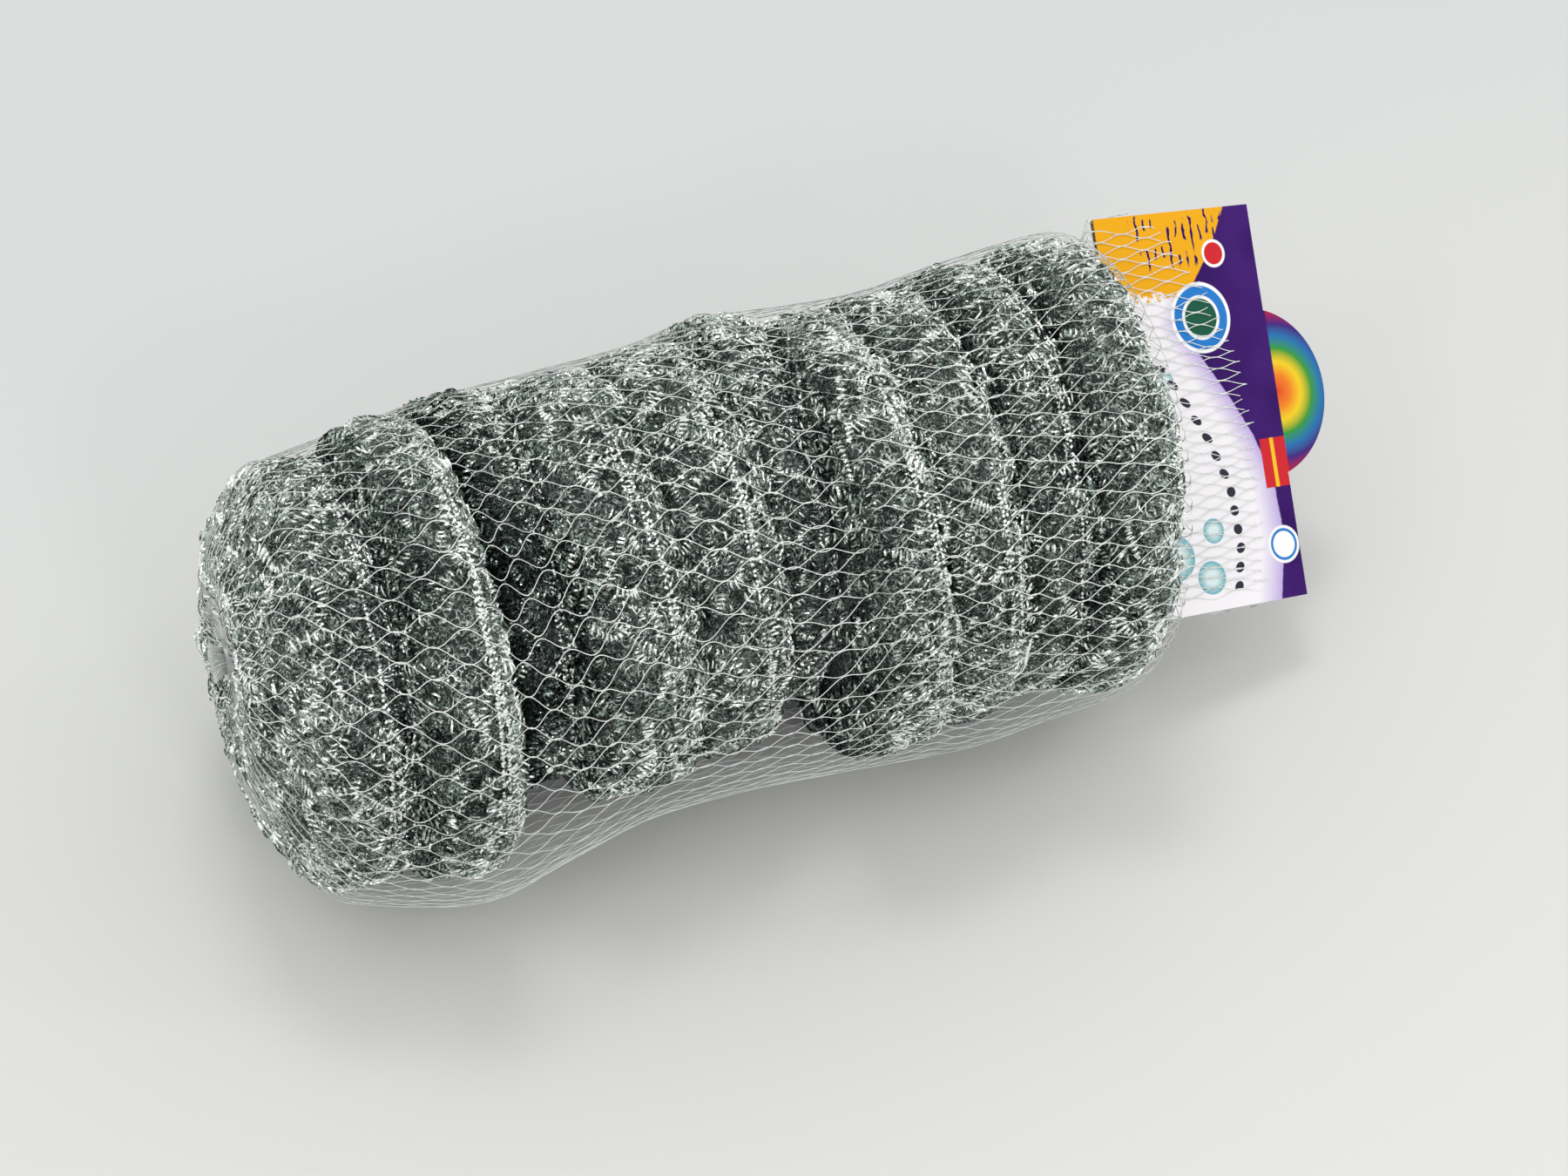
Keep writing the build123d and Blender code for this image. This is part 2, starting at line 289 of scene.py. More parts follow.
def clipMaterial(values):
    material, pattern, shader = newMaterial("clipMetal")
    cloud = pattern.noise(pattern.objectPlace(), values["cloudScale"], 3.0)
    pattern.feed(shader.inputs["Base Color"], pattern.mix(cloud, values["dull"], values["bright"]))
    pattern.feed(shader.inputs["Roughness"], pattern.step(cloud, 0.3, 0.7, *values["roughness"]))
    pattern.feed(shader.inputs["Metallic"], 1.0)
    return material


steel, depthSteel = steelMaterial(), coreMaterial(depthValues)
netPlastic, clipMetal = netMaterial(plasticValues), clipMaterial(clipValues)
print("materials made")


# A mesh from a numpy block of points: faces, the bake map and the shade are given as whole arrays
def makePiece(name, points, faces, bakeMap, material, body=None, shade=None):
    mesh = bpy.data.meshes.new(name)
    mesh.vertices.add(len(points))
    mesh.vertices.foreach_set("co", np.ascontiguousarray(points, np.float32).ravel())
    mesh.loops.add(faces.size)
    mesh.loops.foreach_set("vertex_index", faces.astype(np.int32).ravel())
    mesh.polygons.add(len(faces))
    mesh.polygons.foreach_set("loop_start", np.arange(0, faces.size, 4, dtype=np.int32))
    mesh.polygons.foreach_set("use_smooth", np.ones(len(faces), bool))
    mesh.update(calc_edges=True)
    layer = mesh.uv_layers.new(name="OFBake")
    layer.data.foreach_set("uv", bakeMap[faces.ravel()].astype(np.float32).ravel())
    if shade is not None:
        spread = mesh.attributes.new("shade", "FLOAT", "POINT")
        spread.data.foreach_set("value", shade.astype(np.float32).ravel())
    mesh.materials.append(material)
    piece = bpy.data.objects.new(name, mesh)
    scene.collection.objects.link(piece)
    if body:
        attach(piece, body)
    return piece


def unit(vectors):
    return vectors / np.maximum(np.linalg.norm(vectors, axis=-1, keepdims=True), 1e-12)


# Scourers. One entry for each, in millimetres and degrees; the frame's boxes give their places
scourerValues = {
    "radius": (48.5, 52.0, 46.0, 49.0, 48.0, 46.0, 52.0, 51.0, 51.0, 53.5),
    "thickness": (23.54, 19.0, 19.0, 22.72, 21.48, 15.28, 17.35, 19.41, 16.52, 21.06),
    "lean": (9, 7, 5, 4, 4, 4, 4, 4, 5, 6),
    "turn": (1, 2, 2, 1, 0, 0, 0, -1, -2, -4),
    "ringRadius": (0.0, 0.16, 0.44, 0.72, 0.90, 0.975, 1.0),
    "ringDepth": (0.23, 0.25, 0.50, 0.49, 0.41, 0.24, 0.0),
    "domeDepth": (0.64, 0.66, 0.78, 0.56, 0.34, 0.18, 0.0),
    "domeLift": 12.0,
    # The tangle swells a little past the frame's solids at the shoulders, less on the row's outer sides
    "swell": (0.0, 0.0, 0.0, 0.04, 0.11, 0.15, 0.0),
    "swellShares": {0: (0.3, 1.0), 9: (1.0, 0.0)},
    # Painted shade on the near shoulders beside the scourer before, and a deeper painted shade on the third
    "shade": 0.55,
    "deepShade": 1.1,
    "deepShadeFrom": 0.4,
}


def scourerFrame(index):
    low, high = (np.array(corner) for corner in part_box(f"scourer_{index + 1:02d}"))
    lean, turn = math.radians(scourerValues["lean"][index]), math.radians(scourerValues["turn"][index])
    axis = np.array([math.cos(lean) * math.cos(turn), math.cos(lean) * math.sin(turn), -math.sin(lean)])
    side = unit(np.array([-axis[1], axis[0], 0]))
    radius, thickness = scourerValues["radius"][index] / 1000, scourerValues["thickness"][index] / 1000
    ring, depth = np.array(scourerValues["ringRadius"]), np.array(scourerValues["ringDepth"])
    # How far the puff reaches along X from its middle, taken off the far side of its box
    reach = (depth * thickness * axis[0] + ring * radius * math.sqrt(1 - axis[0] ** 2)).max()
    return {
        "centre": np.array([high[0] - reach, (low[1] + high[1]) / 2, (low[2] + high[2]) / 2]),
        "axis": axis,
        "side": side,
        "up": np.cross(axis, side),
        "radius": radius,
        "thickness": thickness,
        "lift": scourerValues["domeLift"] / 1000 if index == 0 else 0.0,
        "outerDepth": np.array(scourerValues["domeDepth"]) if index == 0 else depth,
        "swellShares": scourerValues["swellShares"].get(index, (1.0, 1.0)),
    }


places = [scourerFrame(index) for index in range(10)]


# Half section of a puff, from the middle of one face over the rim to the middle of the other, smoothed
def puffSection(place):
    ring, depth = np.array(scourerValues["ringRadius"]), np.array(scourerValues["ringDepth"])
    radial = np.concatenate([ring, ring[-2::-1]]) * place["radius"]
    swell = np.array(scourerValues["swell"])
    nearSwell, farSwell = place["swellShares"]
    near, far = -place["outerDepth"] - nearSwell * swell, depth + farSwell * swell
    axial = np.concatenate([near, far[-2::-1]]) * place["thickness"]
    lift = np.concatenate([1 - ring, 0 * ring[1:]]) * place["lift"]
    length = np.concatenate([[0], np.cumsum(np.hypot(np.diff(radial), np.diff(axial)))])
    fine = np.linspace(0, length[-1], 500)
    kernel = np.hanning(31)
    kernel /= kernel.sum()
    radial = np.convolve(np.pad(np.interp(fine, length, radial), 15, mode="reflect"), kernel, "valid")
    axial = np.convolve(np.pad(np.interp(fine, length, axial), 15, mode="edge"), kernel, "valid")
    slopeRadial, slopeAxial = np.gradient(radial, fine), np.gradient(axial, fine)
    size = np.hypot(slopeRadial, slopeAxial)
    return {"length": fine, "radial": radial, "axial": axial, "lift": np.interp(fine, length, lift),
            "outRadial": slopeAxial / size, "outAxial": -slopeRadial / size}


def onPuff(place, section, turn, along):
    def read(name):
        return np.interp(along.ravel(), section["length"], section[name]).reshape(along.shape)[..., None]
    spoke = np.cos(turn)[..., None] * place["side"] + np.sin(turn)[..., None] * place["up"]
    point = (place["centre"] + place["axis"] * read("axial") + spoke * read("radial")
             + place["up"] * read("lift"))
    outward = unit(place["axis"] * read("outAxial") + spoke * read("outRadial"))
    return point, outward, read("radial")[..., 0]


# Lumps of the tangle: a sum of sines round the puff and along its section
def lumps(turn, along, seed):
    return (np.sin(5 * turn + 160 * along + seed) + np.sin(-9 * turn + 210 * along + 2.1 * seed)
            + 0.8 * np.sin(17 * turn + 330 * along + 3.3 * seed)) / 2.8


# Painted shade: near shoulders are painted darker, as in the shade of the scourer before, most of all on the
# third, which stands back
def shadeBeside(index, facing):
    if index == 0:
        return np.zeros_like(facing)
    if index == 2:
        return np.clip(scourerValues["deepShadeFrom"] - facing, 0, 1) * scourerValues["deepShade"]
    return np.clip(-facing, 0, 1) * scourerValues["shade"]


# How far curls and core stand out beside the neighbours; the gap between second and third stays open
def intoGap(index, facing):
    closed = {0: facing > 0, 9: facing < 0, 1: facing < 0, 2: facing > 0}.get(index, facing < 2)
    return closed * facing ** 2


ribbonValues = {
    "strands": 1180,
    "endStrands": 1550,
    # The part of the section that the curls cover, from one face's middle to the other's
    "cover": (0.31, 0.69),
    "endCover": {0: (0.0, 0.68), 9: (0.32, 1.0)},
    "edgeStrands": (30, 80, 20, 30, 50, 15, 50, 20, 40, 0),
    "steps": 64,
    "turnSteps": 7,
    "curlRadius": (0.0009, 0.0017),
    "pitch": (0.0009, 0.0024),
    "tilt": (0.45, 1.5),
    "tiltWander": 0.4,
    "depth": 0.0028,
    "width": (0.0003, 0.0005),
    "roundShare": 0.3,
    "wander": 0.8,
    "lump": 0.0004,
    "proud": (0.0001, 0.0009),
    "lowest": 0.0011,
    "intoGap": 0.0028,
    "pastNet": 0.0024,
    "edgePitch": (0.0020, 0.0032),
    "edgeCurl": (0.0003, 0.0006),
    "edgeWidth": 0.00055,
    "edgePlace": 0.0055,
    "edgeSpread": 0.0014,
}
anyPhase = (0, 6.28)


# Curled ribbon: loops wound round a line that wanders over the puff. Curl radius times cosine and sine of
# the turn, on one direction between outward and forward and on the sideways one, so that the loops lie at
# every tilt
def curledRibbon(index, values):
    rng = np.random.default_rng(100 + index)
    place = places[index]
    section = puffSection(place)
    whole = section["length"][-1]
    low, high = (whole * share for share in values["endCover"].get(index, values["cover"]))
    count = values["endStrands"] if index in (0, 9) else values["strands"]
    steps, turnSteps = values["steps"], values["turnSteps"]

    def draw(span):
        return rng.uniform(span[0], span[1], (count, 1))

    def wave(run, span):
        return np.sin(run / draw(span) + draw(anyPhase))
    # The first strands run round the rim's far shoulder, drawn out into dashes
    onEdge = np.arange(count)[:, None] < values["edgeStrands"][index]
    curl = np.where(onEdge, draw(values["edgeCurl"]), draw(values["curlRadius"]))
    pitch = np.where(onEdge, draw(values["edgePitch"]), draw(values["pitch"]))
    stepNumber = np.arange(steps)[None, :]
    run = stepNumber * pitch / turnSteps
    # Some lines run round the puff, and the others head every way
    heading = np.where(rng.random((count, 1)) < values["roundShare"], draw((-0.3, 0.3)), draw(anyPhase))
    heading = heading + values["wander"] * wave(run, (0.002, 0.006))
    heading = np.where(onEdge, 0.06 * np.sin(run / 0.009 + draw(anyPhase)), heading)
    # Starts spread evenly over the area, so more of them lie where the section is far from the axis
    weight = np.where((section["length"] >= low) & (section["length"] <= high), section["radial"], 0)
    start = np.interp(rng.random((count, 1)), np.cumsum(weight) / weight.sum(), section["length"])
    rim = section["length"][section["radial"].argmax()]
    edgeSpread = (-values["edgeSpread"], values["edgeSpread"])
    start = np.where(onEdge, rim + values["edgePlace"] + draw(edgeSpread), start)
    along = start + np.cumsum(np.sin(heading), 1) * pitch / turnSteps
    along = low + np.mod(along - low, 2 * (high - low))
    along = np.where(along > high, 2 * high - along, along)
    radial = np.interp(along.ravel(), section["length"], section["radial"]).reshape(along.shape)
    turned = np.cumsum(np.cos(heading) / np.maximum(radial, 0.006), 1) * pitch / turnSteps
    turn = draw((0, 2 * math.pi)) + turned
    line, outward, _ = onPuff(place, section, turn, along)
    buried = np.where(onEdge, 0, rng.random((count, 1)) ** 1.5 * values["depth"])
    tilt = draw(values["tilt"]) * np.where(rng.random((count, 1)) < 0.5, 1, -1)
    tilt = np.where(onEdge, 0, tilt + values["tiltWander"] * wave(run, (0.001, 0.003)))
    offset = (values["lump"] * lumps(turn, along, index) + draw(values["proud"]) - buried
              - curl * np.abs(np.cos(tilt)))
    # Some curls stand out into the gaps beside the neighbours, and past the net over the first outer side
    facing = outward @ place["axis"]
    outside = (index == 0) * np.clip(-facing, 0, 1) ** 2
    further = outside * values["pastNet"] + intoGap(index, facing) * values["intoGap"]
    offset = offset + draw((0, 1)) * further
    line = line + outward * offset[..., None]
    forward = unit(np.gradient(line, axis=1))
    across = unit(np.cross(forward, outward))
    angle = 2 * math.pi * stepNumber / turnSteps + draw(anyPhase) + 0.6 * wave(run, (0.001, 0.003))
    size = curl * (1 + 0.3 * wave(run, (0.0008, 0.0025)))
    slanted = np.cos(tilt)[..., None] * outward + np.sin(tilt)[..., None] * forward
    outOfCurl = np.cos(angle)[..., None] * slanted + np.sin(angle)[..., None] * across
    ribbon = line + size[..., None] * outOfCurl
    ribbonWay = unit(np.gradient(ribbon, axis=1))
    width = np.where(onEdge, values["edgeWidth"], draw(values["width"]))
    breadth = unit(np.cross(ribbonWay, outOfCurl)) * width[..., None] / 2
    points = np.stack([ribbon - breadth, ribbon + breadth], 2)
    points[..., 2] = np.maximum(points[..., 2], values["lowest"])
    corner = np.arange(count * steps * 2).reshape(count, steps, 2)
    faces = np.stack([corner[:, :-1, 0], corner[:, 1:, 0], corner[:, 1:, 1], corner[:, :-1, 1]], -1)
    # The bake map gives each strand a thin row of its own
    rows = (np.arange(count)[:, None, None] + np.array([0.15, 0.85])) / count
    bakeMap = np.stack(np.broadcast_arrays(stepNumber[..., None] / (steps - 1), rows), -1)
    # Painted shade: deeper strands get a darker tone, and the rim strands the lightest, a painted highlight;
    # the random part is tone that differs from strand to strand; near shoulders then get the painted shade of
    # shadeBeside
    shade = np.where(onEdge, 0.95, rng.random((count, 1)) * 0.7 + 0.3 * (1 - buried / values["depth"]))
    shade = np.broadcast_to((shade - shadeBeside(index, facing))[..., None], (count, steps, 2))
    piece = makePiece(f"curls{index + 1:02d}", points.reshape(-1, 3), faces.reshape(-1, 4),
                      bakeMap.reshape(-1, 2), steel, "pack", shade)
    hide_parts(f"scourer_{index + 1:02d}")


coreValues = {
    "inset": 0.0031,
    "intoGap": 0.0022,
    "aroundSteps": 96,
    "alongSteps": 56,
    "lump": 0.0004,
}


# Inside of a scourer: the puff's section carried round its axis, set in, with the tangle's lumps
def scourerCore(index, values):
    place = places[index]
    section = puffSection(place)
    turn, along = np.meshgrid(np.linspace(0, 2 * math.pi, values["aroundSteps"]),
                              np.linspace(0, section["length"][-1], values["alongSteps"]), indexing="ij")
    point, outward, radial = onPuff(place, section, turn, along)
    facing = outward @ place["axis"]
    inset = (values["lump"] * lumps(turn, along, index + 4.0) - values["inset"]
             + intoGap(index, facing) * values["intoGap"])
    point = point + outward * (inset * np.clip(radial / 0.012, 0.3, 1))[..., None]
    corner = np.arange(turn.size).reshape(turn.shape)
    faces = np.stack([corner[:-1, :-1], corner[1:, :-1], corner[1:, 1:], corner[:-1, 1:]], -1)
    bakeMap = np.stack([turn / (2 * math.pi), along / section["length"][-1]], -1)
    # Painted shade on the near shoulders, the same as on the curls
    shade = np.clip(1 - shadeBeside(index, facing), 0, 1)
    makePiece(f"core{index + 1:02d}", point.reshape(-1, 3), faces.reshape(-1, 4), bakeMap.reshape(-1, 2),
              depthSteel, "pack", shade)


for index in range(10):
    scourerCore(index, coreValues)
    curledRibbon(index, ribbonValues)
print("scourers made")

# The card's directions and the middle of its inner edge, the same as in the record's hinge
joint = frame["record"]["behaviour"]["joints"][0]
edge = np.array(joint["pos_m"])
cardUp = -unit(np.array(joint["axis"]))
cardDroop, cardTurn = math.radians(14.4), math.radians(3.8)
cardOut = np.array([math.cos(cardDroop) * math.cos(cardTurn), math.cos(cardDroop) * math.sin(cardTurn),
                    -math.sin(cardDroop)])
cardFront = np.cross(cardOut, cardUp)

# The net. The tuples of ten have one entry for each scourer, in millimetres
netValues = {
    "cells": 68,
    "cellLength": 0.0134,
    "stationStep": 0.00105,
    "halfWidth": (51.5, 56.5, 58.5, 54.5, 55.0, 59.0, 55.0, 56.5, 57.5, 56.0),
    "halfHeight": (51.0, 54.3, 50.0, 51.5, 51.5, 50.5, 54.5, 53.2, 53.2, 55.8),
    "sideways": (2.0, -4.0, 3.0, 3.5, 3.5, 5.0, -2.0, -2.5, -1.0, -2.5),
    "floorCut": 1.9,
    "rowMiddle": -0.0017707,
    "rowHeight": 0.052,
    "openShare": (0.15, 0.32),
    "openAngle": 128.0,
    # Waves that bend the pattern along the net, and round it as a share of a cell
    "warp": (0.0016, 0.0012),
    "drift": (0.3, 0.22),
    "twist": 0.35,
    "strandWidth": 0.00011,
    "strandDepth": 0.00009,
    "knotWidth": 0.25,
    "knotDepth": 0.35,
    "clear": 0.0006,
    "overSteel": 0.0011,
    # Distance behind the neck and radius of the tuft's rings
    "tuft": ((0.0052, 0.0046), (0.0022, 0.0026)),
    "neckGap": 0.00115,
    "neckRadius": 0.0029,
    "neckFill": (0.25, 1.0),
    "neckReach": (0.006, 0.003),
    # Stations at which the gathered part ends and the mouth starts
    "gatherEnd": 7.0,
    "lipStart": 17.6,
    "lowest": 0.0003,
    "mouthHalf": 0.0487,
    "mouthDepth": 0.00095,
    "mouthStart": 0.00045,
    "mouthSteps": 40,
    # How far the strands reach over the card at its top, middle and bottom, in millimetres
    "reach": (14.0, 37.0, 34.0),
    "reachRagged": (-0.05, 0.03),
}


def netRings(values):
    rings = []
    first, last = places[0], places[-1]
    startAngle = math.atan2(-cardUp[2], -cardUp[1])
    ringList = list(zip(scourerValues["ringRadius"], scourerValues["ringDepth"]))[1:-1]

    def ring(origin, side, up, wide, high, start=startAngle, kind="oval"):
        rings.append((np.array(origin), side, up, wide, high, start, kind))
    domeList = list(zip(scourerValues["ringRadius"], scourerValues["domeDepth"]))[1:-1]
    neckDepth = domeList[0][1] * first["thickness"] + values["neckGap"]
    overSteel = values["overSteel"]
    for reach, size in values["tuft"]:
        ring(first["centre"] - first["axis"] * (neckDepth + reach)
             + first["up"] * first["lift"] * (1 - domeList[0][0]), first["side"], first["up"], size, size)
    for number, (radius, depth) in enumerate(domeList):
        size = radius * first["radius"] + overSteel if number else values["neckRadius"]
        ring(first["centre"] - first["axis"] * (depth * first["thickness"] + overSteel)
             + first["up"] * first["lift"] * (1 - radius), first["side"], first["up"], size, size)
    for index, place in enumerate(places):
        wide, high = values["halfWidth"][index] / 1000, values["halfHeight"][index] / 1000
        middle = (place["centre"][0], values["sideways"][index] / 1000 + values["rowMiddle"],
                  high - values["floorCut"] / 1000)
        ring(middle, place["side"], place["up"], wide - 0.0004, high - 0.0006)
    alongCard = unit(-cardUp - last["axis"] * np.dot(-cardUp, last["axis"]))
    for radius, depth in (ringList[-1], ringList[-2], ringList[-3]):
        length = max(radius, ringList[-2][0]) * last["radius"] + overSteel
        ring(last["centre"] + last["axis"] * (depth * last["thickness"] + overSteel), alongCard,
             np.cross(last["axis"], alongCard), length, radius * last["radius"] + overSteel, 0.0)
    ring(edge - cardOut * values["mouthStart"], -cardUp, -cardFront, values["mouthHalf"],
         values["mouthDepth"], 0.0, "mouth")
    return rings


# The mouth is flat: along the card the angle runs as a triangle wave, and its depth as a clipped sine
def mouthOffsets(angle, values):
    wave = 1 - 2 * np.abs(np.mod(angle, 2 * math.pi) / math.pi - 1)
    return -wave * values["mouthHalf"], np.clip(6 * np.sin(angle), -1, 1) * values["mouthDepth"]


def ringPoint(ring, angle, values):
    origin, side, up, wide, high, start, kind = ring
    if kind == "mouth":
        first, second = mouthOffsets(angle, values)
    else:
        first, second = wide * np.cos(angle + start), high * np.sin(angle + start)
    return origin + first[..., None] * side + second[..., None] * up


# A point of the net: a Catmull-Rom curve through the rings at each angle
def netPoint(rings, station, angle, values):
    index = min(int(station), len(rings) - 2)
    share = station - index
    weights = ((-share + 2 * share ** 2 - share ** 3) / 2, (2 - 5 * share ** 2 + 3 * share ** 3) / 2,
               (share + 4 * share ** 2 - 3 * share ** 3) / 2, (share ** 3 - share ** 2) / 2)
    total = 0
    for offset, weight in zip((-1, 0, 1, 2), weights):
        number = min(max(index + offset, 0), len(rings) - 1)
        total = total + weight * ringPoint(rings[number], angle, values)
    return total


# Where a net point would lie inside a scourer it is moved out, over the rim or over an end face
def clearOfScourers(points, values):
    ring, depth = np.array(scourerValues["ringRadius"]), np.array(scourerValues["ringDepth"])
    for index, place in enumerate(places):
        offset = points - place["centre"]
        axial = offset @ place["axis"]
        spoke = offset - axial[..., None] * place["axis"]
        radial = np.linalg.norm(spoke, axis=-1)
        level = np.abs(axial) / place["thickness"]
        rim = np.interp(level, depth[:1:-1], ring[:1:-1]) * place["radius"] + values["clear"]
        push = np.where((level < 0.5) & (radial > 0.8 * place["radius"]), np.maximum(rim - radial, 0), 0)
        points = points + spoke / np.maximum(radial, 1e-9)[..., None] * push[..., None]
        outer = {0: axial < 0, 9: axial > 0}.get(index)
        if outer is not None:
            depthHere = place["outerDepth"] if index == 0 else depth
            face = np.interp(radial / place["radius"], ring, depthHere) * place["thickness"] + values["clear"]
            near = outer & (radial <= 0.8 * place["radius"]) & (radial > 0.1 * place["radius"])
            push = np.where(near, np.maximum(face - np.abs(axial), 0), 0) * np.sign(axial)
            points = points + push[..., None] * place["axis"]
    return points


rings = netRings(netValues)


# Stations along the net, evenly spaced by its mean length, and the distance run at each
def netStations(values):
    coarse = np.linspace(0, len(rings) - 1, 40 * len(rings))
    angles = np.linspace(0, 2 * math.pi, 24, endpoint=False)
    line = np.array([netPoint(rings, station, angles, values) for station in coarse])
    length = np.concatenate([[0], np.cumsum(np.linalg.norm(np.diff(line, axis=0), axis=-1).mean(1))])
    run = np.arange(0, length[-1], values["stationStep"])
    return np.interp(run, length, coarse), run, length[-1]


# Strands come in pairs that meet at every crossing: the angle swings a quarter cell each way as the cosine
# of the distance run, and slow waves bend the whole pattern a little
def strandAngles(run, values):
    cells = values["cells"]
    cell = 2 * math.pi / cells
    number = np.arange(2 * cells)[:, None]
    sign = np.where(number % 2 == 0, 1.0, -1.0)
    middle = (number // 2) * cell + sign * cell / 4
    warpOne, warpTwo = values["warp"]
    warp = warpOne * np.sin(3 * middle + run / 0.021) + warpTwo * np.sin(-5 * middle + run / 0.013 + 1.0)
    phase = math.pi * (run + warp) / (values["cellLength"] / 2)
    driftOne, driftTwo = values["drift"]
    drift = driftOne * cell * np.sin(2 * middle + run / 0.03)
    drift = drift + driftTwo * cell * np.sin(7 * middle - run / 0.017)
    angle = middle - sign * cell / 4 * np.cos(phase) + drift + values["twist"] * run
    # Cells are wide where the net lies over the front of the row, narrow above and below, middling behind
    fromFront = angle - math.radians(values["openAngle"]) + math.atan2(-cardUp[2], -cardUp[1])
    once, twice = values["openShare"]
    spread = once * np.sin(fromFront) + twice / 2 * np.sin(2 * fromFront)
    return angle + spread * np.clip((0.2 - run) / 0.05, 0, 1), np.abs(np.cos(phase)) ** 6


# A tube with three sides along each strand, a little thicker where two strands are fused
def strandTubes(name, paths, outward, knots, values, body=None):
    count, steps = paths.shape[:2]
    forward = unit(np.gradient(paths, axis=1))
    across = unit(np.cross(forward, outward))
    upward = np.cross(across, forward)
    angles = np.array([1, 5, 9]) * math.pi / 6
    wider, deeper = 1 + values["knotWidth"] * knots, 1 + values["knotDepth"] * knots
    wide = values["strandWidth"] * wider[..., None, None] * np.cos(angles)[:, None]
    deep = values["strandDepth"] * deeper[..., None, None] * np.sin(angles)[:, None]
    points = paths[:, :, None] + wide * across[:, :, None] + deep * upward[:, :, None]
    corner = np.arange(points.size // 3).reshape(count, steps, 3)
    turned = np.roll(corner, -1, 2)
    faces = np.stack([corner[:, :-1], turned[:, :-1], turned[:, 1:], corner[:, 1:]], -1)
    rows = (np.arange(count)[:, None, None] + np.array([0.1, 0.5, 0.9])) / count
    bakeMap = np.stack(np.broadcast_arrays(np.arange(steps)[None, :, None] / (steps - 1), rows), -1)
    return makePiece(name, points.reshape(-1, 3), faces.reshape(-1, 4), bakeMap.reshape(-1, 2), netPlastic,
                     body)


def makeNet(values):
    stations, run, whole = netStations(values)
    angles, knots = strandAngles(run[None, :], values)
    paths = np.stack([netPoint(rings, station, angles[:, number], values)
                      for number, station in enumerate(stations)], 1)
    paths = clearOfScourers(clearOfScourers(paths, values), values)
    rng = np.random.default_rng(7)
    # Strands fill the neck instead of lying on its outside, and pile up near it
    fill = rng.uniform(*values["neckFill"], (len(paths), 1, 1))
    neckShare = 1 - scourerValues["ringRadius"][1]
    neck = (places[0]["centre"] - places[0]["axis"] * (places[0]["outerDepth"][1] * places[0]["thickness"])
            + places[0]["up"] * places[0]["lift"] * neckShare)
    offset = paths - neck
    axial = (offset @ places[0]["axis"])[..., None] * places[0]["axis"]
    neckReach, neckFade = values["neckReach"]
    near = np.clip((neckReach - np.linalg.norm(offset - axial, axis=-1, keepdims=True)) / neckFade, 0, 1)
    paths = neck + axial + (offset - axial) * (1 - near * (1 - fill))
    outward = np.gradient(paths, axis=0)
    outward = unit(np.cross(outward, np.gradient(paths, axis=1)))
    # Normals point away from the row's middle line
    away = paths - np.array([0, values["rowMiddle"], values["rowHeight"]])
    away[..., 0] *= 0.35
    outward *= np.where((outward * away).sum(-1, keepdims=True) < 0, -1, 1)
    paths[..., 2] = np.maximum(paths[..., 2], values["lowest"])
    gatherEnd = int(np.searchsorted(stations, values["gatherEnd"]))
    lipStart = int(np.searchsorted(stations, values["lipStart"]))
    part = slice(0, gatherEnd + 1)
    gathered = strandTubes("netGather", paths[:, part], outward[:, part], knots[:, part], values, "pack")
    part = slice(gatherEnd, lipStart + 1)
    strandTubes("netAround", paths[:, part], outward[:, part], knots[:, part], values, "pack")
    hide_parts("net_bag")
    # Over the card the strands run on by a distance that depends on the place along the card's edge
    alongCard, _ = mouthOffsets(angles[:, -1], values)
    top, middle, bottom = (reach / 1000 for reach in values["reach"])
    level = alongCard / values["mouthHalf"]
    reach = middle + (np.where(level < 0, top, bottom) - middle) * level ** 2
    reach = reach * (1 + rng.uniform(*values["reachRagged"], reach.shape))
    reach = reach[:, None] * np.linspace(0, 1, values["mouthSteps"])[None, :]
    cardAngles, cardKnots = strandAngles(whole + reach, values)
    first, second = mouthOffsets(cardAngles, values)
    sideSign = np.sign(second)
    onCard = (edge + (reach - values["mouthStart"])[..., None] * cardOut + first[..., None] * -cardUp
              + second[..., None] * -cardFront)
    lip = np.concatenate([paths[:, lipStart:-1], onCard], 1)
    lipOut = np.concatenate([outward[:, lipStart:-1], sideSign[..., None] * -cardFront + 0 * onCard], 1)
    lipKnots = np.concatenate([knots[:, lipStart:-1], cardKnots], 1)
    mouth = strandTubes("netMouth", lip, lipOut, lipKnots, values)
    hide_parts("net_mouth")
    # The mouth bends between the last scourer's face and the card's edge
    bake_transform(mouth)
    print("net", len(paths), "strands", paths.shape[1], "stations")


makeNet(netValues)
print("net made")

